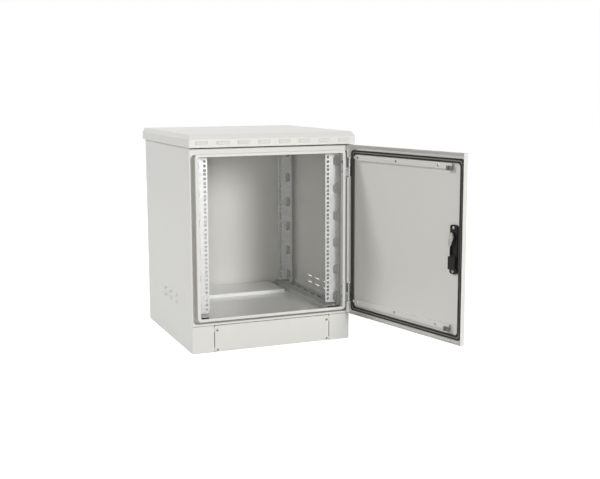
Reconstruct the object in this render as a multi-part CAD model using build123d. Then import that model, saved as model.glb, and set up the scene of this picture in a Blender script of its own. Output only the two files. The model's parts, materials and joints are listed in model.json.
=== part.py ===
from build123d import *
import os

os.makedirs("parts", exist_ok=True)

# Body shell, all lengths in millimetres, standing on the floor at z = 0
body_width = 597.0
body_depth = 609.0
sheet = 1.5
plinth_height = 97.0
top_face = 712.0
side_rise = 4.5
seam_gap = 1.2

# Plinth corners, plates and floor flanges
corner_return = 78.5
plate_gap = 2.6
plate_floor_gap = 1.0
plate_return = 11.0
plate_return_inset = 32.0
backing_inner = 26.0
backing_lap = 5.0
backing_end = 6.0
backing_bridge = 6.0
foot_flange = 45.0
foot_thickness = 2.0
anchor_hole = 7.0
anchor_inset = 25.0
anchor_setback = 45.0
plinth_screw_head = 6.0
plinth_screw_inset = 11.5
plinth_screw_low = 9.0
plinth_screw_drop = 18.0

# Front frame: strip, rain gutter and sealing lip
strip_width = 4.5
strip_bottom = 7.0
gutter_width = 14.0
gutter_bottom = 9.0
gutter_depth = 28.0
gutter_corner = 14.0
gutter_end_drop = 3.0
lip_width = 11.1
lip_bottom = 10.5
lip_top = 10.0
lip_reach = 10.0
lip_corner = 13.0
lip_edge = 0.8
opening_corner = 5.0
band_top = 17.0
frame_flange = 20.0
frame_flange_end = 30.0

# Pressed louvres
louvre_length = 45.0
louvre_height = 12.0
louvre_proud = 5.5
louvre_nose = 2.5
louvre_skin = 1.2
louvre_taper = 5.0
louvre_pitch = 75.0
roof_louvre_lift = 11.0
side_louvre_count = 3
side_louvre_rows = 2
side_louvre_share = 0.476
side_louvre_rise = 48.0
side_louvre_step = 25.5

# Roof hood
roof_side_overhang = 8.0
roof_front_overhang = 30.0
roof_rear_overhang = 8.0
roof_gap = 1.5
roof_skirt = 28.0
roof_crown = 16.0
roof_crown_front = 20.0
roof_crown_side = 6.0
roof_sheet = 1.5
roof_bolt_inset = 97.0
roof_bolt_setback = 70.0
roof_spacer_radius = 9.0
roof_bolt_radius = 4.0
roof_bolt_end = 3.0

# Floor, top and rear plates
tray_flange = 25.5
tray_flange_front = 32.0
tray_flange_rear = 30.0
tray_slot_x = 162.0
tray_slot_setback = 92.0
tray_slot_length = 30.0
tray_slot_width = 7.0
top_slot_length = 110.0
top_slot_width = 7.0
top_slot_pitch = 18.0
top_slot_count = 6
top_slot_x = 95.0
rear_flange = 18.0
cable_hole_side = 36.0
cable_hole_depth = 130.0
cable_hole_rear = 39.0
cover_side_gap = 6.5
cover_depth = 186.0
cover_rear_gap = 12.0
cover_height = 12.5
cover_foot = 12.0
cover_screw_inset = 35.0

# Rack rails, depth rails
rail_sheet = 2.0
rail_setback = 41.0
rail_rear_setback = 90.0
rail_width = 60.0
rail_side_gap = 14.5
rail_return = 30.0
rail_end_gap = 12.0
rail_foot_width = 12.0
rail_corner = 6.0
rail_tab = 30.0
rail_tab_front = 4.0
rail_bolt_inset = 15.0
rail_bolt_back = 17.0
rack_hole_inset = 49.95
rack_hole_radius = 4.5
rack_hole_side = 9.0
unit_height = 44.45
unit_edge = 6.35
unit_hole_step = 15.875
holes_per_unit = 3
cutout_pitch = 100.0
cutout_shift = 2.7
cutout_width = 24.0
cutout_height = 36.0
cutout_cut = 7.0
cutout_inset = 17.5
depth_rail_side_gap = 13.0
depth_rail_width = 60.0
depth_rail_height = 17.5
depth_rail_end_gap = 40.0
depth_slot_pitch = 70.0
depth_slot_length = 46.0
depth_slot_width = 9.0
depth_hole_pitch = 45.0
depth_hole_side = 7.0
depth_hole_inset = 9.5

# Door pan, seal and stiffeners, drawn closed
door_open_angle = 102.6
door_side_gap = 1.0
door_bottom_gap = 2.0
door_top_rise = 3.2
door_rim_gap = 2.0
door_depth = 17.0
door_edge_round = 1.2
hinge_inset = 4.5
hinge_forward = 10.5
gasket_side = 12.0
gasket_top = 20.0
gasket_width = 14.0
gasket_height = 6.0
gasket_corner = 13.0
gasket_groove_width = 4.0
gasket_groove_depth = 2.0
bar_from_top = 45.2
bar_from_bottom = 48.0
bar_height = 20.0
bar_proud = 8.0
bar_start = 62.0
bar_end = 39.0
bar_tab = 10.0
bar_tab_height = 10.0
bar_screw_first = 124.7
bar_screw_last = 55.1
bar_screw_count = 3
guide_start = 57.0
guide_length = 26.0
guide_height = 14.0
guide_thickness = 6.0
guide_drop = 6.0
guide_groove = 11.0
guide_groove_depth = 3.5

# Hinges
hinge_from_top = 82.2
hinge_from_bottom = 77.0
hinge_height = 66.0
hinge_split_gap = 0.4
barrel_radius = 4.0
pin_radius = 2.5
pin_play = 0.06
pin_top_gap = 3.0
body_leaf_thickness = 2.5
body_leaf_front = 9.0
body_leaf_back = 26.0
hinge_bolt_back = 14.0
hinge_bolt_spacing = 36.0
door_leaf_thickness = 2.0
door_leaf_gap = 0.8
door_leaf_web = 3.0
door_leaf_screw_spacing = 44.0
notch_gap = 1.5

# Swing handle lock, drawn closed with the handle in the open position
lock_inset = 50.0
lock_width = 34.0
lock_height = 159.0
lock_height_share = 0.4958
lock_corner = 8.0
escutcheon_thickness = 6.0
housing_proud = 7.0
housing_width = 33.0
housing_shift = 0.5
housing_block_below = 20.0
housing_block_above = 22.0
housing_block_width = 31.0
housing_block_proud = 15.5
housing_wall = 4.0
housing_edge = 2.0
spindle_from_top = 39.0
spindle_radius = 6.0
spindle_boss = 12.0
spindle_boss_proud = 12.5
spindle_hole = 8.0
spindle_square = 8.0
shaft_play = 0.06
cam_reach = 30.0
cam_lean = 7.0
cam_tail = 15.0
cam_hub = 9.0
cam_tip = 6.0
cam_thickness = 3.0
cam_above_floor = 14.0
hub_gap = 0.5
hub_radius = 13.0
hub_base = 2.0
hub_fork_width = 11.0
lever_thickness = 7.0
lever_gap = 0.5
lever_pivot_offset = 5.0
lever_reach = 62.0
lever_root_radius = 8.0
lever_tip_radius = 10.5
lever_neck = 19.0
lever_side_gap = 0.35
lever_edge = 1.2
lever_pin_radius = 2.0
cylinder_rise = 35.0
cylinder_radius = 9.0
cylinder_proud = 1.0
cylinder_length = 21.0
core_radius = 5.0
core_length = 18.0
key_slot_width = 1.6
key_slot_length = 6.5
key_slot_depth = 8.0
lock_screw_inset = 9.0

# Fasteners
screw_head = 5.0
screw_head_height = 2.8
screw_radius = 2.4
screw_length = 9.0
bolt_head = 5.2
bolt_head_height = 4.0
bolt_radius = 3.0
small_head = 2.4
small_head_height = 1.2
small_radius = 1.3
nut_height = 4.0
hinge_head_height = 2.6
hole_play = 0.25
shank_sides = 8
head_sides = 6

half_width = body_width / 2
front = -body_depth / 2
rear = body_depth / 2
inner_half = half_width - sheet
floor_face = plinth_height + strip_bottom - sheet
top_under = top_face - sheet
middle_z = (floor_face + top_under) / 2
side_top = top_face + side_rise
plinth_screw_high = plinth_height - plinth_screw_drop
roof_bottom = side_top + roof_gap

rail_low = floor_face + depth_rail_height
rail_high = top_under - depth_rail_height
rail_outer = inner_half - rail_side_gap
rail_stagger = body_depth - rail_setback - rail_rear_setback
rack_hole_x = rail_outer - rack_hole_inset
unit_count = int((rail_high - rail_low - 2 * rail_end_gap) // unit_height)
depth_rail_outer = inner_half - depth_rail_side_gap
depth_rail_inner = depth_rail_outer - depth_rail_width
cover_half = depth_rail_inner - cover_side_gap
cover_start = rear - cover_rear_gap - cover_depth
roof_bolt_x = inner_half - roof_bolt_inset

door_half = half_width - door_side_gap
door_bottom = plinth_height + door_bottom_gap
door_top = top_face + door_top_rise
bar_upper_z = door_top - bar_from_top
bar_lower_z = door_bottom + bar_from_bottom
hinge_upper_z = door_top - hinge_from_top
hinge_lower_z = door_bottom + hinge_from_bottom
rim_y = front - door_rim_gap
skin_y = rim_y - door_depth
pan_floor = skin_y + sheet
hinge_x = half_width - hinge_inset
hinge_y = front - hinge_forward
gutter_half = half_width - strip_width
lip_half = gutter_half - gutter_width
opening_half = lip_half - lip_width
gutter_low = plinth_height + strip_bottom
lip_low = gutter_low + gutter_bottom
lip_high = top_face - band_top
lock_x = -door_half + lock_inset
lock_middle = door_bottom + lock_height_share * (door_top - door_bottom)
lock_bottom = lock_middle - lock_height / 2
lock_top = lock_middle + lock_height / 2
spindle_z = lock_top - spindle_from_top
cylinder_z = lock_bottom + cylinder_rise


# Helpers: a rectangle between bounds, and extrusions along the three axes
def area(left, right, low, high, corner=0):
    width = right - left
    height = high - low
    middle = Pos((left + right) / 2, (low + high) / 2)
    if corner > 0:
        return middle * RectangleRounded(width, height, corner)
    return middle * Rectangle(width, height)


def along_y(sketch, start, end):
    return extrude(Plane.XZ.offset(-start) * sketch, amount=-(end - start))


def along_z(sketch, start, end):
    return extrude(Plane.XY.offset(start) * sketch, amount=end - start)


def along_x(sketch, start, end):
    return extrude(Plane.YZ.offset(start) * sketch, amount=end - start)


def pattern(count, pitch):
    return [(index - (count - 1) / 2) * pitch for index in range(count)]


def mirrored(shape):
    return mirror(shape, about=Plane.YZ)


def outline(*points):
    return make_face(Polyline(*points, close=True))


# A clearance hole for a shank
def clearance(radius):
    return RegularPolygon(radius + hole_play, shank_sides)


# A headed fastener on z = 0, head above and shank below
def fastener(head, head_height, radius, length):
    top = along_z(RegularPolygon(head, head_sides), 0, head_height)
    shank = along_z(RegularPolygon(radius, shank_sides), -length, 0)
    return top + shank


def ring_nut(head, radius, height):
    return along_z(RegularPolygon(head, head_sides) - RegularPolygon(radius, shank_sides), 0, height)


# A pressed louvre on a wall facing -y, its mouth at z = 0: the hood and the cut through the wall
def louvre_hood():
    nose = louvre_proud - louvre_skin
    half = louvre_length / 2
    crest = louvre_height - 2 * louvre_skin
    wedge = outline((0, 0), (0, louvre_height), (-louvre_proud, louvre_nose), (-louvre_proud, 0))
    tip = half - louvre_taper
    plan = outline((-half, 0), (half, 0), (tip, -louvre_proud), (-tip, -louvre_proud))
    hollow = outline((0, 0), (0, crest), (-nose, louvre_nose - louvre_skin), (-nose, 0))
    reach = half - louvre_skin
    taper = reach - louvre_taper
    hollow_plan = outline((-reach, 0), (reach, 0), (taper, -nose), (-taper, -nose))
    hood = along_x(wedge, -half, half) & along_z(plan, 0, louvre_height)
    space = along_x(hollow, -reach, reach) & along_z(hollow_plan, 0, crest)
    return hood - space


def louvre_cut(wall):
    half = louvre_length / 2 - louvre_skin
    crest = louvre_height - 2 * louvre_skin
    return along_y(area(-half, half, 0, crest), 0, wall)


def add_louvres(shell, wall, places):
    hood = louvre_hood()
    cut = louvre_cut(wall)
    for place in places:
        shell = shell - place * cut + place * hood
    return shell


# Side panel: skin to the floor, plinth corner returns, backing strips and anchor flange in one sheet
def side_panel():
    corner_end = half_width - corner_return
    plinth_top = plinth_height - seam_gap
    skin = along_x(area(front, rear, 0, side_top), inner_half, half_width)
    corner = along_y(area(corner_end, half_width, 0, plinth_top), front, front + sheet)
    strip_start = corner_end - backing_inner
    strip_area = area(strip_start, corner_end + backing_lap, backing_end, plinth_top - backing_end)
    slot_low = plinth_screw_low + backing_bridge
    strip_area -= area(corner_end - plate_gap, corner_end, slot_low, plinth_screw_high - backing_bridge)
    for z in (plinth_screw_low, plinth_screw_high):
        strip_area -= Pos(corner_end - plinth_screw_inset, z) * clearance(screw_radius)
    strip = along_y(strip_area, front + sheet, front + 2 * sheet)
    ends = corner + strip
    foot_area = area(half_width - foot_flange, half_width, front, rear)
    for y in (front + anchor_setback, rear - anchor_setback):
        foot_area -= Pos(half_width - anchor_inset, y) * Circle(anchor_hole)
    foot = along_z(foot_area, 0, foot_thickness)
    places = []
    centre = front + side_louvre_share * body_depth
    for row in range(side_louvre_rows):
        z = plinth_height + side_louvre_rise + row * side_louvre_step
        for step in pattern(side_louvre_count, louvre_pitch):
            places.append(Pos(half_width, centre + step, z) * Rot(0, 0, 90))
    panel = skin + ends + mirror(ends, about=Plane.XZ) + foot
    return add_louvres(panel, sheet, places)


# Plinth plate between the corner returns, edges folded back above and below
def plinth_plate():
    half = half_width - corner_return - plate_gap
    high = plinth_height - seam_gap - plate_floor_gap
    face = area(-half, half, plate_floor_gap, high)
    for x in (-1, 1):
        for z in (plinth_screw_low, plinth_screw_high):
            face -= Pos(x * (half + plate_gap - plinth_screw_inset), z) * clearance(screw_radius)
    fold = half - plate_return_inset
    folds = area(-fold, fold, plate_floor_gap, plate_floor_gap + sheet)
    folds += area(-fold, fold, high - sheet, high)
    return along_y(face, front, front + sheet) + along_y(folds, front, front + plate_return)


def plinth_screws():
    x_place = half_width - corner_return - plinth_screw_inset
    screw = Rot(90, 0, 0) * fastener(plinth_screw_head, screw_head_height, screw_radius, screw_length)
    solids = []
    for x in (-x_place, x_place):
        for z in (plinth_screw_low, plinth_screw_high):
            placed = Pos(x, front, z) * screw
            solids += [placed, mirror(placed, about=Plane.XZ)]
    return Compound(solids)


# Front frame: strip, gutter and lip folded round the door opening
def front_frame():
    back = front + gutter_depth + sheet
    gutter_high = lip_high - gutter_end_drop
    strip = area(-inner_half, inner_half, plinth_height, top_face)
    wide = gutter_half + sheet
    gutter_out = area(-wide, wide, gutter_low - sheet, gutter_high + sheet, gutter_corner + sheet)
    gutter_in = area(-gutter_half, gutter_half, gutter_low, gutter_high, gutter_corner)
    lip_out = area(-lip_half, lip_half, lip_low, lip_high, lip_corner)
    narrow = lip_half - sheet
    lip_in = area(-narrow, narrow, lip_low + sheet, lip_high - sheet, lip_corner - sheet)
    opening = area(-opening_half, opening_half, lip_low + lip_bottom, lip_high - lip_top, opening_corner)
    channel = along_y(strip, front, front + sheet) + along_y(gutter_out, front, back)
    channel -= along_y(gutter_in, front, front + gutter_depth)
    lip = along_y(lip_out, front - lip_reach, back)
    lip = chamfer(lip.faces().sort_by(Axis.Y)[0].edges(), lip_edge)
    frame = channel + lip
    frame -= along_y(lip_in, front - lip_reach + sheet, back)
    frame -= along_y(opening, front - lip_reach, front)
    flange = along_x(
        area(front, front + frame_flange, floor_face + frame_flange_end, top_under - frame_flange_end),
        inner_half - sheet,
        inner_half,
    )
    frame = frame + flange + mirrored(flange)
    return frame - hinge_bolt_holes()


def hinge_bolt_holes():
    back = front + hinge_bolt_back
    span = (lip_half - sheet, lip_half + body_leaf_thickness)
    return [along_x(Pos(back, z) * clearance(screw_radius), *span) for z in hinge_bolt_heights()]


def hinge_bolt_heights():
    step = hinge_bolt_spacing / 2
    return [z + side * step for z in (hinge_upper_z, hinge_lower_z) for side in (-1, 1)]


# Floor tray with upturned sides, drain slots and the cable opening
def floor_plate():
    base = area(-inner_half, inner_half, front + sheet, rear - sheet)
    hole_half = cover_half - cable_hole_side
    hole_end = rear - cable_hole_rear
    base -= area(-hole_half, hole_half, hole_end - cable_hole_depth, hole_end)
    slot = Rectangle(tray_slot_length, tray_slot_width)
    for x in (-tray_slot_x, tray_slot_x):
        base -= Pos(x, front + tray_slot_setback) * slot
    for x, y in cover_screw_places():
        base -= Pos(x, y) * clearance(screw_radius)
    tray = along_z(base, floor_face - sheet, floor_face)
    low = floor_face - sheet
    side = area(front + tray_flange_front, rear - tray_flange_rear, low, floor_face + tray_flange)
    wall = along_x(side, inner_half - sheet, inner_half)
    return tray + wall + mirrored(wall)


# Top plate with downturned sides and air slots under the hood
def top_plate():
    base = area(-inner_half, inner_half, front + sheet, rear - sheet)
    slot = Rectangle(top_slot_length, top_slot_width)
    for x in (-top_slot_x, top_slot_x):
        for y in pattern(top_slot_count, top_slot_pitch):
            base -= Pos(x, y) * slot
    for x, y in roof_bolt_places():
        base -= Pos(x, y) * clearance(roof_bolt_radius)
    plate = along_z(base, top_under, top_face)
    side = area(front + tray_flange_front, rear - tray_flange_rear, top_under - tray_flange, top_face)
    wall = along_x(side, inner_half - sheet, inner_half)
    return plate + wall + mirrored(wall)


def rear_panel():
    skin = along_y(area(-inner_half, inner_half, plinth_height, side_top), rear - sheet, rear)
    low = floor_face + frame_flange_end
    edge = area(rear - rear_flange, rear - sheet, low, top_under - frame_flange_end)
    fold = along_x(edge, inner_half - sheet, inner_half)
    return skin + fold + mirrored(fold)


# Raised cover over the cable opening, with a foot flange at each side
def cable_entry_cover():
    back = rear - cover_rear_gap
    start = cover_start
    high = floor_face + cover_height
    raised = cover_half - cover_foot
    body = area(-raised, raised, floor_face, high)
    space = area(-raised + sheet, raised - sheet, floor_face, high - sheet)
    lid = along_y(body, start, back) - along_y(space, start + sheet, back - sheet)
    foot_area = area(raised - sheet, cover_half, start, back)
    for x, y in cover_screw_places():
        foot_area -= Pos(x, y) * clearance(screw_radius)
    foot = along_z(foot_area, floor_face, floor_face + sheet)
    return lid + foot + mirrored(foot)


def cover_screw_places():
    x_place = cover_half - cover_foot / 2
    low = cover_start + cover_screw_inset
    high = rear - cover_rear_gap - cover_screw_inset
    return [(x, y) for x in (-x_place, x_place) for y in (low, high)]


def cover_screws():
    screw = fastener(screw_head, screw_head_height, screw_radius, screw_length)
    return Compound([Pos(x, y, floor_face + sheet) * screw for x, y in cover_screw_places()])


# Roof hood: louvred skirts and a chamfered crown, hollow below
def roof_form(inset, drop):
    left = -half_width - roof_side_overhang + inset
    right = half_width + roof_side_overhang - inset
    low = front - roof_front_overhang + inset
    high = rear + roof_rear_overhang - inset
    eaves = roof_bottom + roof_skirt - drop / 2
    crest = roof_bottom + roof_skirt + roof_crown - drop
    skirt = area(left, right, low, high)
    crown = area(
        left + roof_crown_side, right - roof_crown_side, low + roof_crown_front, high - roof_crown_side
    )
    cap = loft([Pos(0, 0, eaves) * skirt, Pos(0, 0, crest) * crown])
    return along_z(skirt, roof_bottom, eaves) + cap


def roof_hood():
    hood = roof_form(0, 0) - roof_form(roof_sheet, roof_sheet)
    mouth = roof_bottom + roof_louvre_lift
    places = []
    louvre_count = int((body_width + 2 * roof_side_overhang) // louvre_pitch)
    for x in pattern(louvre_count, louvre_pitch):
        places.append(Pos(x, front - roof_front_overhang, mouth))
        places.append(Pos(x, rear + roof_rear_overhang, mouth) * Rot(0, 0, 180))
    return add_louvres(hood, roof_sheet, places)


def roof_bolt_places():
    low = front + roof_bolt_setback
    high = rear - roof_bolt_setback
    return [(x, y) for x in (-roof_bolt_x, roof_bolt_x) for y in (low, high)]


def roof_inside():
    return roof_bottom + roof_skirt + roof_crown - roof_sheet


def roof_spacers():
    ring = RegularPolygon(roof_spacer_radius, head_sides) - clearance(roof_bolt_radius)
    tube = along_z(ring, top_face, roof_inside())
    return Compound([Pos(x, y) * tube for x, y in roof_bolt_places()])


def roof_bolts():
    length = roof_inside() - top_under - roof_bolt_end
    bolt = Rot(180, 0, 0) * fastener(bolt_head, bolt_head_height, roof_bolt_radius, length)
    return Compound([Pos(x, y, top_under) * bolt for x, y in roof_bolt_places()])


# Depth rail on the floor at the right: an open channel with slots for the rail bolts
def depth_rail():
    outer = depth_rail_outer
    high = rail_low
    section = area(depth_rail_inner, outer, floor_face, high)
    section -= area(depth_rail_inner + rail_sheet, outer - rail_sheet, floor_face, high - rail_sheet)
    rail = along_y(section, front + depth_rail_end_gap, rear - depth_rail_end_gap)
    cuts = []
    x = rail_outer - rail_bolt_inset
    slot_count = int((rail_stagger - depth_slot_length) // depth_slot_pitch)
    hole_count = int(rail_stagger // depth_hole_pitch)
    for y in pattern(slot_count, depth_slot_pitch):
        cuts.append(Pos(x, y) * Rectangle(depth_slot_width, depth_slot_length))
    hole = Rectangle(depth_hole_side, depth_hole_side)
    for y in pattern(hole_count, depth_hole_pitch):
        cuts.append(Pos(depth_rail_inner + depth_hole_inset, y) * hole)
    for y in rail_bolt_rows():
        cuts.append(Pos(x, y) * clearance(bolt_radius))
    for cut in cuts:
        rail -= along_z(cut, high - rail_sheet, high)
    return rail


def rail_bolt_rows():
    return [front + rail_setback + rail_bolt_back + step for step in (0, rail_stagger)]


# Rack rail at the front right: perforated face, return to the rear and a foot at each end
def rack_rail():
    low = rail_low
    high = rail_high
    inner = rail_outer - rail_width
    face = area(inner, rail_outer, low + rail_end_gap, high - rail_end_gap, rail_corner)
    face += area(rail_outer - rail_foot_width, rail_outer, low, high)
    for index in range(unit_count * holes_per_unit):
        unit = index // holes_per_unit
        step = index % holes_per_unit
        first = middle_z - unit_count * unit_height / 2 + unit_edge
        z = first + unit * unit_height + step * unit_hole_step
        end_hole = index in (0, unit_count * holes_per_unit - 1)
        hole = Circle(rack_hole_radius) if end_hole else Rectangle(rack_hole_side, rack_hole_side)
        face -= Pos(rack_hole_x, z) * hole
    window = outline(*cutout_points())
    window_count = int((high - low - 2 * rail_end_gap - cutout_height) // cutout_pitch) + 1
    for z in pattern(window_count, cutout_pitch):
        face -= Pos(rail_outer - cutout_inset, middle_z - cutout_shift + z) * window
    plate = along_y(face, front + rail_setback, front + rail_setback + rail_sheet)
    turn = area(front + rail_setback, front + rail_setback + rail_return, low, high)
    plate += along_x(turn, rail_outer - rail_sheet, rail_outer)
    tab_front = front + rail_setback + rail_sheet + rail_tab_front
    tab = area(rail_outer - rail_tab, rail_outer, tab_front, front + rail_setback + rail_return)
    tab -= Pos(rail_outer - rail_bolt_inset, rail_bolt_rows()[0]) * clearance(bolt_radius)
    return plate + along_z(tab, low, low + rail_sheet) + along_z(tab, high - rail_sheet, high)


def cutout_points():
    half = cutout_width / 2
    tall = cutout_height / 2
    short = half - cutout_cut
    straight = tall - cutout_cut
    right = [(half, -straight), (half, straight), (short, tall)]
    left = [(-short, tall), (-half, straight), (-half, -straight)]
    return right + left + [(-short, -tall), (short, -tall)]


def rail_fixings(piece, below, above):
    x_place = rail_outer - rail_bolt_inset
    solids = []
    for x in (-x_place, x_place):
        for y in rail_bolt_rows():
            solids.append(Pos(x, y, below) * piece)
            solids.append(Pos(x, y, above) * Rot(180, 0, 0) * piece)
    return Compound(solids)


def rail_bolts():
    low = rail_low + rail_sheet
    length = 2 * rail_sheet + nut_height + rail_sheet
    bolt = fastener(bolt_head, bolt_head_height, bolt_radius, length)
    return rail_fixings(bolt, low, 2 * middle_z - low)


def rail_nuts():
    low = rail_low - rail_sheet - nut_height
    return rail_fixings(ring_nut(bolt_head, bolt_radius, nut_height), low, 2 * middle_z - low)


# Hinges: bent body leaf in the gutter, pin, and a door leaf on the pan floor
def body_leaf(z):
    low = z - hinge_height / 2
    high = z + hinge_height / 2
    half = z - hinge_split_gap / 2
    back_edge = front + body_leaf_back
    lead = front - body_leaf_front
    plate = area(lip_half, lip_half + body_leaf_thickness, lead, back_edge)
    arm = area(lip_half, hinge_x, lead, hinge_y + barrel_radius)
    barrel = Pos(hinge_x, hinge_y) * Circle(barrel_radius)
    bore = Pos(hinge_x, hinge_y) * Circle(pin_radius)
    leaf = along_z(plate, low, high) + along_z(arm + barrel, low, half)
    leaf -= along_z(bore, low, half)
    return leaf - hinge_bolt_holes()


def hinge_pin(z):
    low = z - hinge_height / 2
    high = z + hinge_height / 2 - pin_top_gap
    return along_z(Pos(hinge_x, hinge_y) * Circle(pin_radius), low, high)


def door_leaf(z):
    low = z - hinge_height / 2
    high = z + hinge_height / 2
    half = z + hinge_split_gap / 2
    top = pan_floor + door_leaf_thickness
    start = door_half - gasket_side + door_leaf_gap
    plate = area(start, door_half - sheet - door_leaf_gap, pan_floor, top)
    web = area(hinge_x - door_leaf_web / 2, hinge_x + door_leaf_web / 2, top, hinge_y)
    barrel = Pos(hinge_x, hinge_y) * Circle(barrel_radius)
    leaf = along_z(plate, low, high) + along_z(web + barrel, half, high)
    leaf -= along_z(Pos(hinge_x, hinge_y) * Circle(pin_radius + pin_play), half, high)
    for x, y, height in leaf_screw_places():
        if low < height < high:
            leaf -= along_y(Pos(x, height) * clearance(small_radius), pan_floor, y)
    return leaf


def leaf_screw_places():
    x = (door_half - gasket_side + door_leaf_gap + hinge_x - door_leaf_web / 2) / 2
    step = door_leaf_screw_spacing / 2
    y = pan_floor + door_leaf_thickness
    return [(x, y, z + side * step) for z in (hinge_upper_z, hinge_lower_z) for side in (-1, 1)]


def leaf_screws():
    screw = Rot(-90, 0, 0) * fastener(small_head, small_head_height, small_radius, door_leaf_thickness)
    return Compound([Pos(x, y, z) * screw for x, y, z in leaf_screw_places()])


def hinge_bolts():
    length = body_leaf_thickness + sheet + nut_height + sheet
    bolt = Rot(0, 90, 0) * fastener(screw_head, hinge_head_height, screw_radius, length)
    x = lip_half + body_leaf_thickness
    return Compound([Pos(x, front + hinge_bolt_back, z) * bolt for z in hinge_bolt_heights()])


def hinge_nuts():
    nut = Rot(0, -90, 0) * ring_nut(screw_head, screw_radius, nut_height)
    return Compound([Pos(lip_half - sheet, front + hinge_bolt_back, z) * nut for z in hinge_bolt_heights()])


# Door pan, closed: rounded outer edges, notched at the hinges and pierced for the lock
def door_panel():
    outer = area(-door_half, door_half, door_bottom, door_top)
    inner_side = door_half - sheet
    inner = area(-inner_side, inner_side, door_bottom + sheet, door_top - sheet)
    pan = along_y(outer, skin_y, rim_y)
    pan = fillet(pan.faces().sort_by(Axis.Y)[0].edges(), door_edge_round)
    pan -= along_y(inner, pan_floor, rim_y)
    for z in (hinge_upper_z, hinge_lower_z):
        reach = hinge_height / 2 + notch_gap
        pan -= along_y(area(inner_side - sheet, door_half, z - reach, z + reach), pan_floor, rim_y)
    holes = [Pos(lock_x, spindle_z) * Circle(spindle_hole)]
    holes.append(Pos(lock_x, cylinder_z) * Circle(cylinder_radius))
    for z in lock_screw_heights():
        holes.append(Pos(lock_x, z) * clearance(screw_radius))
    for hole in holes:
        pan -= along_y(hole, skin_y, pan_floor)
    return pan


# Seal ring with a groove along its face
def gasket():
    side = door_half - gasket_side
    low = door_bottom + gasket_side
    high = door_top - gasket_top

    def ring(inset, width):
        corner = gasket_corner
        edge = area(-side + inset, side - inset, low + inset, high - inset, corner)
        far = inset + width
        return edge - area(-side + far, side - far, low + far, high - far, corner)

    face = pan_floor + gasket_height
    groove_inset = (gasket_width - gasket_groove_width) / 2
    groove = along_y(ring(groove_inset, gasket_groove_width), face - gasket_groove_depth, face)
    return along_y(ring(0, gasket_width), pan_floor, face) - groove


# Stiffener: a channel with its open side on the pan, ended by a flat tab
def stiffener(z):
    start = -door_half + bar_start
    end = door_half - bar_end
    face = pan_floor + bar_proud
    low = z - bar_height / 2
    high = z + bar_height / 2
    section = area(pan_floor, face, low, high) - area(pan_floor, face - sheet, low + sheet, high - sheet)
    bar = along_x(section, start, end)
    half_tab = bar_tab_height / 2
    tab = area(end - sheet, end + bar_tab, z - half_tab, z + half_tab)
    bar += along_y(tab, face - sheet, face)
    for x in bar_screw_rows():
        bar -= along_y(Pos(x, z) * clearance(screw_radius), face - sheet, face)
    return bar


def bar_screw_rows():
    first = -door_half + bar_screw_first
    step = (door_half - bar_screw_last - first) / (bar_screw_count - 1)
    return [first + index * step for index in range(bar_screw_count)]


def bar_screws():
    screw = Rot(-90, 0, 0) * fastener(screw_head, screw_head_height, screw_radius, bar_proud)
    face = pan_floor + bar_proud
    return Compound([Pos(x, face, z) * screw for z in (bar_upper_z, bar_lower_z) for x in bar_screw_rows()])


# Rod guide: a moulded block on the stiffener with an open groove
def rod_guide(z):
    start = -door_half + guide_start
    end = start + guide_length
    face = pan_floor + bar_proud
    middle = (start + end) / 2
    section = area(start, end, face, face + guide_thickness)
    open_from = face + guide_thickness - guide_groove_depth
    section -= area(middle - guide_groove / 2, middle + guide_groove / 2, open_from, face + guide_thickness)
    centre = z - guide_drop
    return along_z(section, centre - guide_height / 2, centre + guide_height / 2)


# Lock: plate outside, housing inside, cylinder and core
def lock_screw_heights():
    return [lock_bottom + lock_screw_inset, lock_top - lock_screw_inset]


def escutcheon():
    side = lock_width / 2
    face = skin_y - escutcheon_thickness
    plate = along_y(area(lock_x - side, lock_x + side, lock_bottom, lock_top, lock_corner), face, skin_y)
    plate = chamfer(plate.faces().sort_by(Axis.Y)[0].edges(), lever_edge)
    plate -= along_y(Pos(lock_x, spindle_z) * Circle(spindle_radius + shaft_play), face, skin_y)
    plate -= along_y(Pos(lock_x, cylinder_z) * Circle(cylinder_radius), face, skin_y)
    for z in lock_screw_heights():
        plate -= along_y(Pos(lock_x, z) * RegularPolygon(screw_radius, shank_sides), face + sheet, skin_y)
    return plate


def lock_housing():
    middle = lock_x - housing_shift
    side = housing_width / 2
    block = housing_block_width / 2
    block_low = cylinder_z - housing_block_below
    block_top = cylinder_z + housing_block_above
    face = pan_floor + housing_proud
    boss_face = pan_floor + spindle_boss_proud
    plate = along_y(area(middle - side, middle + side, lock_bottom, lock_top, lock_corner), pan_floor, face)
    block_area = area(middle - block, middle + block, block_low, block_top, housing_edge)
    box = along_y(block_area, pan_floor, pan_floor + housing_block_proud)
    boss = along_y(Pos(lock_x, spindle_z) * Circle(spindle_boss), pan_floor, boss_face)
    body = plate + box + boss
    recess_side = side - housing_wall
    recess_top = spindle_z - spindle_boss - housing_edge
    recess_low = block_top + housing_wall
    recess = area(middle - recess_side, middle + recess_side, recess_low, recess_top, housing_edge)
    body -= along_y(recess, pan_floor + sheet, face)
    body -= along_y(Pos(lock_x, spindle_z) * Circle(spindle_radius + shaft_play), pan_floor, boss_face)
    bore_end = skin_y - escutcheon_thickness - cylinder_proud + cylinder_length
    body -= along_y(Pos(lock_x, cylinder_z) * Circle(cylinder_radius), pan_floor, bore_end)
    for z in lock_screw_heights():
        body -= along_y(Pos(lock_x, z) * clearance(screw_radius), pan_floor, face)
    return body


def lock_screws():
    face = pan_floor + housing_proud
    length = housing_proud + escutcheon_thickness
    screw = Rot(-90, 0, 0) * fastener(screw_head, screw_head_height, screw_radius, length)
    return Compound([Pos(lock_x, face, z) * screw for z in lock_screw_heights()])


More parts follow.
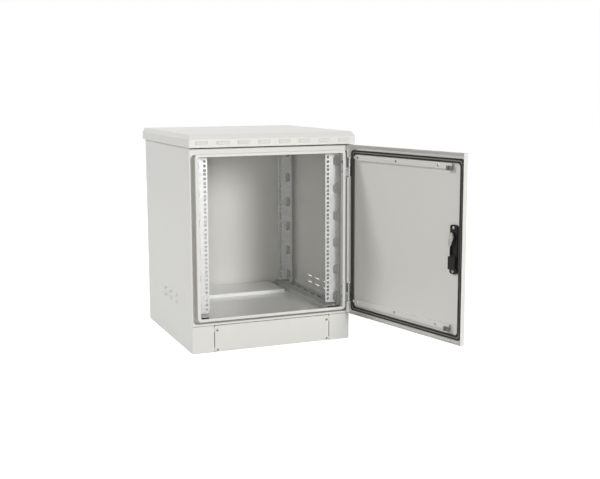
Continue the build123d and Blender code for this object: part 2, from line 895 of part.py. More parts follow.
def lock_cylinder():
    start = skin_y - escutcheon_thickness - cylinder_proud
    body = along_y(Pos(lock_x, cylinder_z) * Circle(cylinder_radius), start, start + cylinder_length)
    bore = Pos(lock_x, cylinder_z) * Circle(core_radius + shaft_play)
    return body - along_y(bore, start, start + core_length + lever_gap)


def lock_core():
    start = skin_y - escutcheon_thickness - cylinder_proud
    core = along_y(Pos(lock_x, cylinder_z) * Circle(core_radius), start, start + core_length)
    slot = Pos(lock_x, cylinder_z) * Rectangle(key_slot_width, key_slot_length)
    return core - along_y(slot, start, start + key_slot_depth)


# Handle: spindle with a forked hub outside, cam and bolt inside, lever on its cross pin
def cam_start():
    return pan_floor + cam_above_floor


def hub_face():
    return skin_y - escutcheon_thickness - hub_gap


def pivot_y():
    return hub_face() - hub_base - lever_gap - lever_thickness / 2


def handle_spindle():
    centre = Pos(lock_x, spindle_z)
    hub_end = pivot_y() - lever_thickness / 2
    hub = along_y(centre * Circle(hub_radius), hub_end, hub_face())
    half = hub_fork_width / 2
    room = pivot_x() - lever_thickness / 2 - lever_gap
    fork = area(room, lock_x + hub_radius, spindle_z - half, spindle_z + half)
    hub -= along_y(fork, hub_end, hub_face() - hub_base)
    hub -= Pos(pivot_x(), pivot_y(), spindle_z) * Cylinder(lever_pin_radius, 2 * hub_radius)
    square_start = cam_start() - hub_gap
    square_end = cam_start() + cam_thickness
    shaft = along_y(centre * Circle(spindle_radius), hub_face(), square_start)
    square = along_y(centre * Rectangle(spindle_square, spindle_square), square_start, square_end)
    bolt_area = centre * RegularPolygon(screw_radius, shank_sides)
    bolt_hole = along_y(bolt_area, cam_start() - cam_thickness, square_end)
    return hub + shaft + square - bolt_hole


def pivot_x():
    return lock_x + lever_pivot_offset


def lever_pin():
    length = 2 * (hub_radius - lever_pivot_offset)
    return Pos(pivot_x(), pivot_y(), spindle_z) * Cylinder(lever_pin_radius, length)


def lock_cam():
    hub = Pos(lock_x, spindle_z) * Circle(cam_hub)
    tip = Pos(lock_x + cam_lean, spindle_z - cam_reach + cam_tip) * Circle(cam_tip)
    tail = Pos(lock_x, spindle_z + cam_tail - cam_tip) * Circle(cam_tip)
    blade = make_hull(hub.edges() + tip.edges()) + make_hull(hub.edges() + tail.edges())
    blade -= Pos(lock_x, spindle_z) * Rectangle(spindle_square, spindle_square)
    return along_y(blade, cam_start(), cam_start() + cam_thickness)


def cam_bolt():
    head = screw_head + screw_radius
    bolt = Rot(-90, 0, 0) * fastener(head, screw_head_height, screw_radius, 2 * cam_thickness)
    return Pos(lock_x, cam_start() + cam_thickness, spindle_z) * bolt


def handle_lever():
    near = pivot_y() + lever_thickness / 2
    far = pivot_y() - lever_thickness / 2
    root = Pos(lock_x + lever_neck + lever_root_radius, spindle_z) * Circle(lever_root_radius)
    tip = Pos(lock_x + lever_reach - lever_tip_radius, spindle_z) * Circle(lever_tip_radius)
    grip = along_y(make_hull(root.edges() + tip.edges()), far, near)
    grip = chamfer(grip.faces().sort_by(Axis.Y)[0].edges(), lever_edge)
    half = hub_fork_width / 2 - lever_side_gap
    neck_end = lock_x + lever_neck + lever_root_radius
    neck = along_y(area(pivot_x(), neck_end, spindle_z - half, spindle_z + half), far, near)
    eye = Pos(pivot_x(), pivot_y()) * Circle(lever_thickness / 2)
    body = grip + neck + along_z(eye, spindle_z - half, spindle_z + half)
    bore = Cylinder(lever_pin_radius + shaft_play, 2 * hub_radius)
    return body - Pos(pivot_x(), pivot_y(), spindle_z) * bore


right_side = side_panel()
plinth_front = plinth_plate()
lower_rail = depth_rail()
upper_rail = mirror(lower_rail, about=Plane.XY.offset(middle_z))
front_rail = rack_rail()
rear_rail = Pos(0, rail_stagger, 0) * front_rail

cabinet_pieces = {
    "left_side_panel": mirrored(right_side),
    "right_side_panel": right_side,
    "rear_panel": rear_panel(),
    "front_frame": front_frame(),
    "top_plate": top_plate(),
    "floor_plate": floor_plate(),
    "cable_entry_cover": cable_entry_cover(),
    "cable_cover_screws": cover_screws(),
    "plinth_front_plate": plinth_front,
    "plinth_rear_plate": mirror(plinth_front, about=Plane.XZ),
    "plinth_screws": plinth_screws(),
    "roof_hood": roof_hood(),
    "roof_spacers": roof_spacers(),
    "roof_bolts": roof_bolts(),
    "depth_rail_lower_left": mirrored(lower_rail),
    "depth_rail_lower_right": lower_rail,
    "depth_rail_upper_left": mirrored(upper_rail),
    "depth_rail_upper_right": upper_rail,
    "rack_rail_front_left": mirrored(front_rail),
    "rack_rail_front_right": front_rail,
    "rack_rail_rear_left": mirrored(rear_rail),
    "rack_rail_rear_right": rear_rail,
    "rail_bolts": rail_bolts(),
    "rail_nuts": rail_nuts(),
    "hinge_body_leaf_upper": body_leaf(hinge_upper_z),
    "hinge_body_leaf_lower": body_leaf(hinge_lower_z),
    "hinge_pin_upper": hinge_pin(hinge_upper_z),
    "hinge_pin_lower": hinge_pin(hinge_lower_z),
    "hinge_bolts": hinge_bolts(),
    "hinge_nuts": hinge_nuts(),
}

door_pieces = {
    "door_panel": door_panel(),
    "door_gasket": gasket(),
    "door_stiffener_upper": stiffener(bar_upper_z),
    "door_stiffener_lower": stiffener(bar_lower_z),
    "stiffener_screws": bar_screws(),
    "rod_guide_upper": rod_guide(bar_upper_z),
    "rod_guide_lower": rod_guide(bar_lower_z),
    "hinge_door_leaf_upper": door_leaf(hinge_upper_z),
    "hinge_door_leaf_lower": door_leaf(hinge_lower_z),
    "hinge_leaf_screws": leaf_screws(),
    "lock_escutcheon": escutcheon(),
    "lock_housing": lock_housing(),
    "lock_screws": lock_screws(),
    "lock_cylinder": lock_cylinder(),
    "lock_core": lock_core(),
    "handle_spindle": handle_spindle(),
    "lock_cam": lock_cam(),
    "cam_bolt": cam_bolt(),
    "lever_pin": lever_pin(),
    "handle_lever": handle_lever(),
}

# The door group swings about the hinge line to its open place
swing = Pos(hinge_x, hinge_y, 0) * Rot(0, 0, door_open_angle) * Pos(-hinge_x, -hinge_y, 0)

for name, shape in cabinet_pieces.items():
    export_step(shape, "parts/" + name + ".step")

for name, shape in door_pieces.items():
    export_step(swing * shape, "parts/" + name + ".step")
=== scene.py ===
import bpy
import bmesh
import json
import math
from mathutils import Matrix, Vector


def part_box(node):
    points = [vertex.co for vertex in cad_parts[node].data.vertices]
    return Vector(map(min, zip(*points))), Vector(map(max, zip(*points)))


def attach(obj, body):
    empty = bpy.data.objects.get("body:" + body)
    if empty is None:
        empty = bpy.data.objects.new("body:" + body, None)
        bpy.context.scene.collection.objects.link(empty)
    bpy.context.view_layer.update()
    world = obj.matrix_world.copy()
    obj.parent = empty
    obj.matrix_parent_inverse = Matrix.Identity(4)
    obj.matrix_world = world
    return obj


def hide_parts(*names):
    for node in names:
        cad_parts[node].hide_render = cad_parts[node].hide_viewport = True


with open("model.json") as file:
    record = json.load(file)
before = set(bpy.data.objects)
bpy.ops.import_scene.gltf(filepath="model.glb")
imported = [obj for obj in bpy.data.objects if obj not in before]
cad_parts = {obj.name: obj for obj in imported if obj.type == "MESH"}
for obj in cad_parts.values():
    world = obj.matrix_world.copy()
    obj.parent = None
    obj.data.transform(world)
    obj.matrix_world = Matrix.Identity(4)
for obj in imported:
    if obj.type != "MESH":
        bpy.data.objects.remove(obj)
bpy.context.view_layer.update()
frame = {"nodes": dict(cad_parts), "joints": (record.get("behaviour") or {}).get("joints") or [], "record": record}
nodes = frame["nodes"]
scene = bpy.context.scene
print("stage: frame loaded,", len(nodes), "nodes")

# What a user would change, one dictionary for each finish
coatSettings = {
    "colour": (0.745, 0.74, 0.705, 1),
    "metallic": 0.0,
    "specular": 0.5,
    "roughness": (0.29, 0.305),
    "drift": 0.025,
    "driftSize": 5.0,
    "grainSize": 900.0,
    "grainDepth": 0.10,
}
# Floor plate and cable cover: the same grey coat, glossier, and painted lighter than the coat elsewhere as painted
# light
floorPlatePaintedLightSettings = {
    "colour": (0.88, 0.88, 0.86, 1),
    "metallic": 0.0,
    "specular": 0.5,
    "roughness": (0.20, 0.23),
    "drift": 0.03,
    "driftSize": 5.0,
    "grainSize": 700.0,
    "grainDepth": 0.06,
}
zincSheetSettings = {
    "colour": (0.60, 0.605, 0.60, 1),
    "metallic": 0.4,
    "roughness": (0.34, 0.52),
    "spangleSize": 95.0,
    "spangleAmount": 0.10,
    "grainSize": 700.0,
    "grainDepth": 0.06,
}
fastenerSettings = {
    "colour": (0.50, 0.50, 0.49, 1),
    "metallic": 0.9,
    "specular": 0.5,
    "roughness": (0.24, 0.34),
    "drift": 0.10,
    "driftSize": 160.0,
    "grainSize": 2400.0,
    "grainDepth": 0.05,
}
castingSettings = {
    "colour": (0.42, 0.42, 0.41, 1),
    "metallic": 0.85,
    "specular": 0.5,
    "roughness": (0.22, 0.34),
    "drift": 0.10,
    "driftSize": 160.0,
    "grainSize": 1500.0,
    "grainDepth": 0.08,
}
# Near-black colour painted into the screw recesses as painted shade
recessShadeSettings = {
    "colour": (0.035, 0.035, 0.035, 1),
    "metallic": 0.4,
    "specular": 0.5,
    "roughness": (0.55, 0.65),
    "drift": 0.10,
    "driftSize": 160.0,
    "grainSize": 2400.0,
    "grainDepth": 0.05,
}
plasticSettings = {
    "colour": (0.010, 0.010, 0.009, 1),
    "metallic": 0.0,
    "specular": 0.25,
    "roughness": (0.36, 0.50),
    "drift": 0.25,
    "driftSize": 60.0,
    "grainSize": 2600.0,
    "grainDepth": 0.25,
}
greyPlasticSettings = {
    "colour": (0.16, 0.16, 0.15, 1),
    "metallic": 0.0,
    "specular": 0.5,
    "roughness": (0.40, 0.52),
    "drift": 0.25,
    "driftSize": 60.0,
    "grainSize": 2600.0,
    "grainDepth": 0.25,
}
foamSettings = {
    "colour": (0.030, 0.028, 0.024, 1),
    "groove": (0.30, 0.29, 0.26, 1),
    "grooveHalf": 0.0003,
    "specular": 0.3,
    "roughness": (0.80, 0.92),
    "drift": 0.4,
    "driftSize": 420.0,
    "grainSize": 1900.0,
    "grainDepth": 0.5,
}
edgeSettings = {"radius": 0.0007, "samples": 4}
noiseSettings = {
    "mean": 0.5,
    "usualRange": (0.3, 0.7),
    "driftDetail": 2.0,
    "grainDetail": 3.0,
    "grainRoughness": 0.55,
    "grainHeight": 0.0002,
}

# Shares are of the CAD screw's own sizes
screwSettings = {
    "sides": 32,
    "mergeGap": 0.00002,
    "headBandShare": 0.9,
    "headShare": 0.98,
    "shankShare": 0.97,
    "rimShare": 0.30,
    "crownShare": 0.62,
    "domeSteps": 6,
    "recessDepth": 0.70,
    "recessWidth": 0.28,
    "recessReach": 0.86,
    "recessTaper": 0.8,
    "turnRange": 6.28,
    "turnSeed": 7,
}

# Camera solved from the photograph, in the object's frame
cameraSettings = {
    "place": (-1.2410, -3.5778, 0.9243),
    "yaw": 22.36,
    "pitch": 8.74,
    "roll": 0.19,
    "lens": 60.16,
    "sensor": 36.0,
}
bodyAim = (0.0, -0.3, 0.4)
lightSettings = {
    "key": {"place": (1.55, -7.13, 2.2), "aim": bodyAim, "size": 1.92, "power": 262.0},
    "camera": {"place": (-2.6, -7.0, 1.0), "aim": bodyAim, "size": 0.8, "power": 80.0},
    "leftFront": {"place": (-4.9, -5.2, 1.9), "aim": bodyAim, "size": 1.0, "power": 20.0},
    "leftBack": {"place": (-6.0, 0.9, 5.0), "aim": bodyAim, "size": 1.3, "power": 215.0},
    "top": {"place": (0.0, 2.4, 7.0), "aim": (0.0, 0.0, 0.7), "size": 3.0, "power": 85.0},
    "rightBack": {"place": (6.4, 2.4, 3.0), "aim": (0.0, 0.0, 0.4), "size": 2.4, "power": 90.0},
}
worldLevel = 0.2
white = (1, 1, 1, 1)

# Lift makes the floor white to the camera, and gloss is its share in reflections
floorSettings = {
    "half": 14.0,
    "drop": 0.0001,
    "inset": 0.005,
    "colour": (0.58, 0.58, 0.57, 1),
    "specular": 0.0,
    "roughness": (0.85, 0.95),
    "drift": 0.01,
    "driftSize": 0.5,
    "lift": 0.9,
    "gloss": 0.75,
}


# Shared shader effects
def makeGroup(name, inputs, outputs):
    tree = bpy.data.node_groups.new(name, "ShaderNodeTree")
    for label, kind, value in inputs:
        socket = tree.interface.new_socket(label, in_out="INPUT", socket_type=kind)
        socket.default_value = value
    for label, kind in outputs:
        tree.interface.new_socket(label, in_out="OUTPUT", socket_type=kind)
    start = tree.nodes.new("NodeGroupInput")
    end = tree.nodes.new("NodeGroupOutput")
    return tree, start, end


def addMath(tree, operation):
    node = tree.nodes.new("ShaderNodeMath")
    node.operation = operation
    return node


def grainGroup():
    inputs = [
        ("size", "NodeSocketFloat", coatSettings["grainSize"]),
        ("depth", "NodeSocketFloat", coatSettings["grainDepth"]),
        ("edge", "NodeSocketVector", (0, 0, 0)),
    ]
    tree, start, end = makeGroup("surfaceGrain", inputs, [("normal", "NodeSocketVector")])
    place = tree.nodes.new("ShaderNodeTexCoord")
    noise = tree.nodes.new("ShaderNodeTexNoise")
    noise.inputs["Detail"].default_value = noiseSettings["grainDetail"]
    noise.inputs["Roughness"].default_value = noiseSettings["grainRoughness"]
    bump = tree.nodes.new("ShaderNodeBump")
    bump.inputs["Distance"].default_value = noiseSettings["grainHeight"]
    tree.links.new(place.outputs["Object"], noise.inputs["Vector"])
    tree.links.new(start.outputs["size"], noise.inputs["Scale"])
    tree.links.new(start.outputs["depth"], bump.inputs["Strength"])
    tree.links.new(noise.outputs["Fac"], bump.inputs["Height"])
    tree.links.new(start.outputs["edge"], bump.inputs["Normal"])
    tree.links.new(bump.outputs["Normal"], end.inputs["normal"])
    return tree


# Turns a level from 0 to 1 into a factor round 1, and tints the colour with it
def linkTint(tree, start, end, level):
    spread = addMath(tree, "SUBTRACT")
    spread.inputs[1].default_value = noiseSettings["mean"]
    factor = addMath(tree, "MULTIPLY_ADD")
    factor.inputs[2].default_value = 1.0
    tint = tree.nodes.new("ShaderNodeVectorMath")
    tint.operation = "SCALE"
    tree.links.new(level, spread.inputs[0])
    tree.links.new(spread.outputs[0], factor.inputs[0])
    tree.links.new(start.outputs["amount"], factor.inputs[1])
    tree.links.new(start.outputs["colour"], tint.inputs[0])
    tree.links.new(factor.outputs[0], tint.inputs["Scale"])
    tree.links.new(tint.outputs[0], end.inputs["colour"])


def driftGroup():
    inputs = [
        ("colour", "NodeSocketColor", coatSettings["colour"]),
        ("amount", "NodeSocketFloat", coatSettings["drift"]),
        ("size", "NodeSocketFloat", coatSettings["driftSize"]),
    ]
    outputs = [("colour", "NodeSocketColor"), ("level", "NodeSocketFloat")]
    tree, start, end = makeGroup("toneDrift", inputs, outputs)
    place = tree.nodes.new("ShaderNodeTexCoord")
    noise = tree.nodes.new("ShaderNodeTexNoise")
    noise.inputs["Detail"].default_value = noiseSettings["driftDetail"]
    tree.links.new(place.outputs["Object"], noise.inputs["Vector"])
    tree.links.new(start.outputs["size"], noise.inputs["Scale"])
    linkTint(tree, start, end, noise.outputs["Fac"])
    tree.links.new(noise.outputs["Fac"], end.inputs["level"])
    return tree


def spangleGroup():
    inputs = [
        ("colour", "NodeSocketColor", zincSheetSettings["colour"]),
        ("amount", "NodeSocketFloat", zincSheetSettings["spangleAmount"]),
        ("size", "NodeSocketFloat", zincSheetSettings["spangleSize"]),
    ]
    outputs = [("colour", "NodeSocketColor"), ("roughness", "NodeSocketFloat")]
    tree, start, end = makeGroup("zincSpangle", inputs, outputs)
    place = tree.nodes.new("ShaderNodeTexCoord")
    cells = tree.nodes.new("ShaderNodeTexVoronoi")
    levels = tree.nodes.new("ShaderNodeSeparateColor")
    rough = tree.nodes.new("ShaderNodeMapRange")
    rough.inputs["To Min"].default_value = zincSheetSettings["roughness"][0]
    rough.inputs["To Max"].default_value = zincSheetSettings["roughness"][1]
    tree.links.new(place.outputs["Object"], cells.inputs["Vector"])
    tree.links.new(start.outputs["size"], cells.inputs["Scale"])
    tree.links.new(cells.outputs["Color"], levels.inputs[0])
    linkTint(tree, start, end, levels.outputs[0])
    tree.links.new(levels.outputs[1], rough.inputs["Value"])
    tree.links.new(rough.outputs["Result"], end.inputs["roughness"])
    return tree


grainTree = grainGroup()
driftTree = driftGroup()
spangleTree = spangleGroup()


def addGroup(tree, group, values):
    node = tree.nodes.new("ShaderNodeGroup")
    node.node_tree = group
    for label, value in values.items():
        node.inputs[label].default_value = value
    return node


def startMaterial(name):
    material = bpy.data.materials.new(name)
    material.use_nodes = True
    tree = material.node_tree
    return material, tree, tree.nodes["Principled BSDF"]


def softEdge(tree):
    edge = tree.nodes.new("ShaderNodeBevel")
    edge.samples = edgeSettings["samples"]
    edge.inputs["Radius"].default_value = edgeSettings["radius"]
    return edge


def linkGrain(tree, shader, settings, rounded):
    values = {"size": settings["grainSize"], "depth": settings["grainDepth"]}
    grain = addGroup(tree, grainTree, values)
    surface = softEdge(tree) if rounded else tree.nodes.new("ShaderNodeNewGeometry")
    tree.links.new(surface.outputs["Normal"], grain.inputs["edge"])
    tree.links.new(grain.outputs["normal"], shader.inputs["Normal"])


# Colour that drifts slightly, with roughness from the same noise
def linkTone(tree, shader, settings):
    values = {
        "colour": settings["colour"],
        "amount": settings["drift"],
        "size": settings["driftSize"],
    }
    tone = addGroup(tree, driftTree, values)
    spread = tree.nodes.new("ShaderNodeMapRange")
    spread.inputs["From Min"].default_value = noiseSettings["usualRange"][0]
    spread.inputs["From Max"].default_value = noiseSettings["usualRange"][1]
    spread.inputs["To Min"].default_value = settings["roughness"][0]
    spread.inputs["To Max"].default_value = settings["roughness"][1]
    tree.links.new(tone.outputs["colour"], shader.inputs["Base Color"])
    tree.links.new(tone.outputs["level"], spread.inputs["Value"])
    tree.links.new(spread.outputs["Result"], shader.inputs["Roughness"])
    shader.inputs["Specular IOR Level"].default_value = settings["specular"]
    return tone


def plainMaterial(name, settings):
    material, tree, shader = startMaterial(name)
    linkTone(tree, shader, settings)
    shader.inputs["Metallic"].default_value = settings["metallic"]
    linkGrain(tree, shader, settings, True)
    return material


def zincSheetMaterial():
    material, tree, shader = startMaterial("zincSheet")
    values = {
        "colour": zincSheetSettings["colour"],
        "amount": zincSheetSettings["spangleAmount"],
        "size": zincSheetSettings["spangleSize"],
    }
    spangle = addGroup(tree, spangleTree, values)
    tree.links.new(spangle.outputs["colour"], shader.inputs["Base Color"])
    tree.links.new(spangle.outputs["roughness"], shader.inputs["Roughness"])
    shader.inputs["Metallic"].default_value = zincSheetSettings["metallic"]
    linkGrain(tree, shader, zincSheetSettings, True)
    return material


handleTurn = next(joint for joint in frame["joints"] if joint["name"] == "handle_turn")
doorInward = Vector(handleTurn["axis"]).normalized()


# The seal's groove is its middle level along the door's normal, and looks lighter
def foamMaterial():
    material, tree, shader = startMaterial("sealFoam")
    vertices = nodes["door_gasket"].data.vertices
    levels = sorted({round(vertex.co.dot(doorInward), 5) for vertex in vertices})
    place = tree.nodes.new("ShaderNodeTexCoord")
    height = tree.nodes.new("ShaderNodeVectorMath")
    height.operation = "DOT_PRODUCT"
    height.inputs[1].default_value = doorInward
    near = addMath(tree, "COMPARE")
    near.inputs[1].default_value = levels[len(levels) // 2]
    near.inputs[2].default_value = foamSettings["grooveHalf"]
    mix = tree.nodes.new("ShaderNodeMix")
    mix.data_type = "RGBA"
    mix.inputs["A"].default_value = foamSettings["colour"]
    mix.inputs["B"].default_value = foamSettings["groove"]
    tone = linkTone(tree, shader, foamSettings)
    tree.links.new(place.outputs["Object"], height.inputs[0])
    tree.links.new(height.outputs["Value"], near.inputs[0])
    tree.links.new(near.outputs[0], mix.inputs["Factor"])
    tree.links.new(mix.outputs["Result"], tone.inputs["colour"])
    linkGrain(tree, shader, foamSettings, False)
    return material


paintedRecessShade = plainMaterial("recessShade", recessShadeSettings)
finishes = {
    "grey_coat": plainMaterial("greyCoat", coatSettings),
    "galvanised": zincSheetMaterial(),
    "zinc_fastener": plainMaterial("zincFastener", fastenerSettings),
    "zinc_casting": plainMaterial("zincCasting", castingSettings),
    "seal_foam": foamMaterial(),
    "black_plastic": plainMaterial("blackPlastic", plasticSettings),
    "grey_plastic": plainMaterial("greyPlastic", greyPlasticSettings),
}
slotOf = {part["node"]: part["material_slot"] for part in frame["record"]["subparts"]}
for name, node in nodes.items():
    node.data.materials.clear()
    node.data.materials.append(finishes[slotOf[name]])
# Floor plate and cable cover get the glossier grey coat, painted lighter as painted light
floorPlatePaintedLight = plainMaterial("floorGlossPaintedLight", floorPlatePaintedLightSettings)
for name in ("floor_plate", "cable_entry_cover"):
    nodes[name].data.materials[0] = floorPlatePaintedLight
print("stage: finishes set")


# Screw heads: one detailed screw, set on every place that the CAD group gives
def islandsOf(node):
    work = bmesh.new()
    work.from_mesh(node.data)
    bmesh.ops.remove_doubles(work, verts=work.verts, dist=screwSettings["mergeGap"])
    seen = set()
    groups = []
    for vert in work.verts:
        if vert.index in seen:
            continue
        stack = [vert]
        group = []
        while stack:
            current = stack.pop()
            if current.index in seen:
                continue
            seen.add(current.index)
            group.append(current.co.copy())
            stack.extend(edge.other_vert(current) for edge in current.link_edges)
        groups.append(group)
    work.free()
    return groups


def screwFacts(points, axis):
    levels = [point.dot(axis) for point in points]
    low = min(levels)
    high = max(levels)
    centre = sum(points, Vector()) / len(points)
    offsets = [point - centre for point in points]
    across = [(offset - axis * offset.dot(axis)).length for offset in offsets]
    inner = sorted(across)[: len(across) // 4]
    limit = screwSettings["headBandShare"] * max(across)
    headLow = min(level for level, width in zip(levels, across) if width > limit)
    return {
        "foot": centre + axis * (headLow - centre.dot(axis)),
        "headRadius": max(across),
        "headHeight": high - headLow,
        "shankRadius": sum(inner) / len(inner),
        "shankLength": headLow - low,
    }


def screwProfile(facts):
    radius = facts["headRadius"] * screwSettings["headShare"]
    height = facts["headHeight"]
    shank = facts["shankRadius"] * screwSettings["shankShare"]
    rim = screwSettings["rimShare"]
    crown = screwSettings["crownShare"]
    steps = screwSettings["domeSteps"]
    profile = [
        (shank, -facts["shankLength"]),
        (shank, 0.0),
        (radius, 0.0),
        (radius, height * rim),
    ]
    for step in range(1, steps + 1):
        turn = step / steps * math.pi / 2
        wide = radius * (crown + (1 - crown) * math.cos(turn))
        profile.append((wide, height * (rim + (1 - rim) * math.sin(turn))))
    return profile


# Corners of a cross with arms of the given reach and half width
def crossOutline(reach, narrow):
    return [
        (narrow, narrow), (narrow, reach), (-narrow, reach), (-narrow, narrow),
        (-reach, narrow), (-reach, -narrow), (-narrow, -narrow), (-narrow, -reach),
        (narrow, -reach), (narrow, -narrow), (reach, -narrow), (reach, narrow),
    ]


def screwMesh(name, facts):
    sides = screwSettings["sides"]
    height = facts["headHeight"]
    work = bmesh.new()
    rings = []
    for wide, level in screwProfile(facts):
        ring = []
        for index in range(sides):
            turn = 2 * math.pi * index / sides
            place = (wide * math.cos(turn), wide * math.sin(turn), level)
            ring.append(work.verts.new(place))
        rings.append(ring)
    for lower, upper in zip(rings, rings[1:]):
        for index in range(sides):
            following = (index + 1) % sides
            work.faces.new((lower[index], lower[following], upper[following], upper[index]))
    work.faces.new(list(reversed(rings[0])))
    cap = rings[-1]
    capRadius = facts["headRadius"] * screwSettings["headShare"] * screwSettings["crownShare"]
    reach = capRadius * screwSettings["recessReach"]
    narrow = capRadius * screwSettings["recessWidth"]
    taper = screwSettings["recessTaper"]
    floorLevel = height * (1 - screwSettings["recessDepth"])
    corners = crossOutline(reach, narrow)
    rim = [work.verts.new((x, y, height)) for x, y in corners]
    base = [work.verts.new((x * taper, y * taper, floorLevel)) for x, y in corners]
    count = len(corners)
    edges = [work.edges.new((rim[index], rim[(index + 1) % count])) for index in range(count)]
    edges += [work.edges.get((cap[index], cap[(index + 1) % sides])) for index in range(sides)]
    bmesh.ops.triangle_fill(work, edges=edges, use_beauty=True, normal=(0, 0, 1))
    for face in [face for face in work.faces if all(vert in rim for vert in face.verts)]:
        work.faces.remove(face)
    inside = [work.faces.new(base)]
    for index in range(count):
        following = (index + 1) % count
        wall = (rim[index], base[index], base[following], rim[following])
        inside.append(work.faces.new(wall))
    # The recess faces get the painted shade material, not the screw's own metal
    for face in inside:
        face.material_index = 1
    bmesh.ops.recalc_face_normals(work, faces=work.faces)
    mesh = bpy.data.meshes.new(name)
    work.to_mesh(mesh)
    work.free()
    inner = mesh.attributes.new("inner", "BOOLEAN", "FACE")
    for index, polygon in enumerate(mesh.polygons):
        inner.data[index].value = polygon.material_index == 1
    return mesh


def scatterTree():
    tree = bpy.data.node_groups.new("screwScatter", "GeometryNodeTree")
    sockets = [
        ("points", "NodeSocketGeometry"),
        ("screw", "NodeSocketObject"),
        ("finish", "NodeSocketMaterial"),
        ("innerShade", "NodeSocketMaterial"),
        ("turnSeed", "NodeSocketInt"),
    ]
    for label, kind in sockets:
        tree.interface.new_socket(label, in_out="INPUT", socket_type=kind)
    tree.interface.new_socket("screws", in_out="OUTPUT", socket_type="NodeSocketGeometry")
    start = tree.nodes.new("NodeGroupInput")
    end = tree.nodes.new("NodeGroupOutput")
    facing = tree.nodes.new("GeometryNodeInputNamedAttribute")
    facing.data_type = "FLOAT_VECTOR"
    facing.inputs["Name"].default_value = "facing"
    align = tree.nodes.new("FunctionNodeAlignRotationToVector")
    align.axis = "Z"
    spin = tree.nodes.new("FunctionNodeRandomValue")
    spin.inputs[3].default_value = screwSettings["turnRange"]
    turn = tree.nodes.new("FunctionNodeAxisAngleToRotation")
    turn.inputs["Axis"].default_value = (0, 0, 1)
    both = tree.nodes.new("FunctionNodeRotateRotation")
    both.rotation_space = "LOCAL"
    info = tree.nodes.new("GeometryNodeObjectInfo")
    copies = tree.nodes.new("GeometryNodeInstanceOnPoints")
    real = tree.nodes.new("GeometryNodeRealizeInstances")
    paint = tree.nodes.new("GeometryNodeSetMaterial")
    # Faces marked inner are painted with the dark recess shade
    recess = tree.nodes.new("GeometryNodeInputNamedAttribute")
    recess.data_type = "BOOLEAN"
    recess.inputs["Name"].default_value = "inner"
    paintRecessShade = tree.nodes.new("GeometryNodeSetMaterial")
    links = tree.links
    links.new(start.outputs["points"], copies.inputs["Points"])
    links.new(start.outputs["screw"], info.inputs["Object"])
    links.new(info.outputs["Geometry"], copies.inputs["Instance"])
    links.new(facing.outputs["Attribute"], align.inputs["Vector"])
    links.new(start.outputs["turnSeed"], spin.inputs["Seed"])
    links.new(spin.outputs[1], turn.inputs["Angle"])
    links.new(align.outputs["Rotation"], both.inputs["Rotation"])
    links.new(turn.outputs["Rotation"], both.inputs["Rotate By"])
    links.new(both.outputs["Rotation"], copies.inputs["Rotation"])
    links.new(copies.outputs["Instances"], real.inputs["Geometry"])
    links.new(real.outputs["Geometry"], paint.inputs["Geometry"])
    links.new(start.outputs["finish"], paint.inputs["Material"])
    links.new(paint.outputs["Geometry"], paintRecessShade.inputs["Geometry"])
    links.new(recess.outputs["Attribute"], paintRecessShade.inputs["Selection"])
    links.new(start.outputs["innerShade"], paintRecessShade.inputs["Material"])
    links.new(paintRecessShade.outputs["Geometry"], end.inputs["screws"])
    return tree


scatter = scatterTree()
socketOf = {}
for item in scatter.interface.items_tree:
    if item.in_out == "INPUT":
        socketOf[item.name] = item.identifier


def bodyOf(nodeName):
    for body, members in frame["record"]["behaviour"]["bodies"].items():
        if nodeName in members:
            return body
    return None


def replaceScrews(nodeName, pieceName, axisOf):
    facts = []
    for points in islandsOf(nodes[nodeName]):
        axis = axisOf(sum(points, Vector()) / len(points))
        facts.append((screwFacts(points, axis), axis))
    screw = screwMesh(pieceName + "Screw", facts[0][0])
    template = bpy.data.objects.new(pieceName + "Template", screw)
    mesh = bpy.data.meshes.new(pieceName + "Points")
    mesh.from_pydata([fact["foot"] for fact, axis in facts], [], [])
    facing = mesh.attributes.new("facing", "FLOAT_VECTOR", "POINT")
    for index, (fact, axis) in enumerate(facts):
        facing.data[index].vector = axis
    holder = bpy.data.objects.new(pieceName + "Field", mesh)
    scene.collection.objects.link(holder)
    modifier = holder.modifiers.new("screws", "NODES")
    modifier.node_group = scatter
    modifier[socketOf["screw"]] = template
    modifier[socketOf["finish"]] = finishes["zinc_fastener"]
    modifier[socketOf["innerShade"]] = paintedRecessShade
    modifier[socketOf["turnSeed"]] = screwSettings["turnSeed"]
    graph = bpy.context.evaluated_depsgraph_get()
    made = bpy.data.meshes.new_from_object(holder.evaluated_get(graph), depsgraph=graph)
    bpy.data.objects.remove(holder)
    bpy.data.objects.remove(template)
    piece = bpy.data.objects.new(pieceName, made)
    scene.collection.objects.link(piece)
    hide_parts(nodeName)
    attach(piece, bodyOf(nodeName))


def plinthOut(centre):
    return Vector((0, -1 if centre.y < 0 else 1, 0))


def inward(centre):
    return doorInward


def upward(centre):
    return Vector((0, 0, 1))


replaceScrews("plinth_screws", "plinthScrewHeads", plinthOut)
replaceScrews("stiffener_screws", "stiffenerScrewHeads", inward)
replaceScrews("lock_screws", "lockScrewHeads", inward)
replaceScrews("cable_cover_screws", "coverScrewHeads", upward)
print("stage: screws set")


# Floor, lights and camera
def seenRays(tree, gloss):
    path = tree.nodes.new("ShaderNodeLightPath")
    dimmed = addMath(tree, "MULTIPLY")
    dimmed.inputs[1].default_value = gloss
    first = addMath(tree, "MAXIMUM")
    second = addMath(tree, "MAXIMUM")
    tree.links.new(path.outputs["Is Camera Ray"], first.inputs[0])
    tree.links.new(path.outputs["Is Glossy Ray"], dimmed.inputs[0])
    tree.links.new(dimmed.outputs[0], first.inputs[1])
    tree.links.new(first.outputs[0], second.inputs[0])
    tree.links.new(path.outputs["Is Transmission Ray"], second.inputs[1])
    return second.outputs[0]


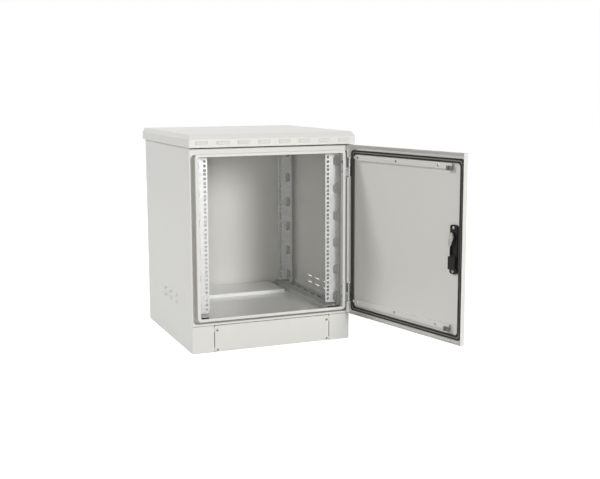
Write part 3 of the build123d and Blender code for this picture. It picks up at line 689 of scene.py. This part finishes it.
def floorMaterial(name, lifted):
    material, tree, shader = startMaterial(name)
    linkTone(tree, shader, floorSettings)
    if lifted:
        shader.inputs["Emission Color"].default_value = white
        lift = addMath(tree, "MULTIPLY")
        lift.inputs[1].default_value = floorSettings["lift"]
        tree.links.new(seenRays(tree, floorSettings["gloss"]), lift.inputs[0])
        tree.links.new(lift.outputs[0], shader.inputs["Emission Strength"])
    return material


# The part of the floor inside the plinth stays unlifted, so gaps look dark
def makeFloor():
    half = floorSettings["half"]
    inset = floorSettings["inset"]
    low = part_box("left_side_panel")[0]
    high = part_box("right_side_panel")[1]
    acrossX = [-half, low[0] + inset, high[0] - inset, half]
    acrossY = [-half, low[1] + inset, high[1] - inset, half]
    places = [(x, y, 0) for y in acrossY for x in acrossX]
    wide = len(acrossX)
    corners = [wide * row + column for row in range(wide - 1) for column in range(wide - 1)]
    faces = [(first, first + 1, first + wide + 1, first + wide) for first in corners]
    mesh = bpy.data.meshes.new("studioFloor")
    mesh.from_pydata(places, [], faces)
    mesh.materials.append(floorMaterial("studioFloor", True))
    mesh.materials.append(floorMaterial("floorUnderPlinth", False))
    mesh.polygons[len(faces) // 2].material_index = 1
    floor = bpy.data.objects.new("studioFloor", mesh)
    scene.collection.objects.link(floor)
    floor.location.z = -floorSettings["drop"]


def makeLight(name, settings):
    data = bpy.data.lights.new(name, "AREA")
    data.shape = "DISK"
    data.size = settings["size"]
    data.energy = settings["power"]
    lamp = bpy.data.objects.new(name, data)
    scene.collection.objects.link(lamp)
    lamp.location = settings["place"]
    aim = Vector(settings["aim"]) - Vector(settings["place"])
    lamp.rotation_mode = "QUATERNION"
    lamp.rotation_quaternion = aim.to_track_quat("-Z", "Y")


def makeWorld():
    world = bpy.data.worlds.new("studioWorld")
    scene.world = world
    world.use_nodes = True
    tree = world.node_tree
    tree.nodes.clear()
    light = tree.nodes.new("ShaderNodeBackground")
    light.inputs["Color"].default_value = white
    light.inputs["Strength"].default_value = worldLevel
    shown = tree.nodes.new("ShaderNodeBackground")
    shown.inputs["Color"].default_value = white
    shown.inputs["Strength"].default_value = 1.0
    mix = tree.nodes.new("ShaderNodeMixShader")
    out = tree.nodes.new("ShaderNodeOutputWorld")
    tree.links.new(seenRays(tree, 1.0), mix.inputs["Fac"])
    tree.links.new(light.outputs[0], mix.inputs[1])
    tree.links.new(shown.outputs[0], mix.inputs[2])
    tree.links.new(mix.outputs[0], out.inputs["Surface"])


def makeCamera():
    yaw = math.radians(cameraSettings["yaw"])
    pitch = math.radians(cameraSettings["pitch"])
    roll = math.radians(cameraSettings["roll"])
    level = math.cos(pitch)
    ahead = Vector((math.sin(yaw) * level, math.cos(yaw) * level, -math.sin(pitch)))
    right = Vector((math.cos(yaw), -math.sin(yaw), 0))
    down = ahead.cross(right)
    turnedRight = right * math.cos(roll) + down * math.sin(roll)
    turnedUp = right * math.sin(roll) - down * math.cos(roll)
    data = bpy.data.cameras.new("photoCamera")
    data.lens = cameraSettings["lens"]
    data.sensor_width = cameraSettings["sensor"]
    data.sensor_fit = "HORIZONTAL"
    camera = bpy.data.objects.new("photoCamera", data)
    scene.collection.objects.link(camera)
    columns = Matrix((turnedRight, turnedUp, -ahead)).transposed()
    camera.matrix_world = Matrix.Translation(cameraSettings["place"]) @ columns.to_4x4()
    scene.camera = camera


makeFloor()
for name, settings in lightSettings.items():
    makeLight(name + "Light", settings)
makeWorld()
makeCamera()
scene.view_settings.view_transform = "Standard"
print("stage: studio set")

bpy.context.view_layer.update()
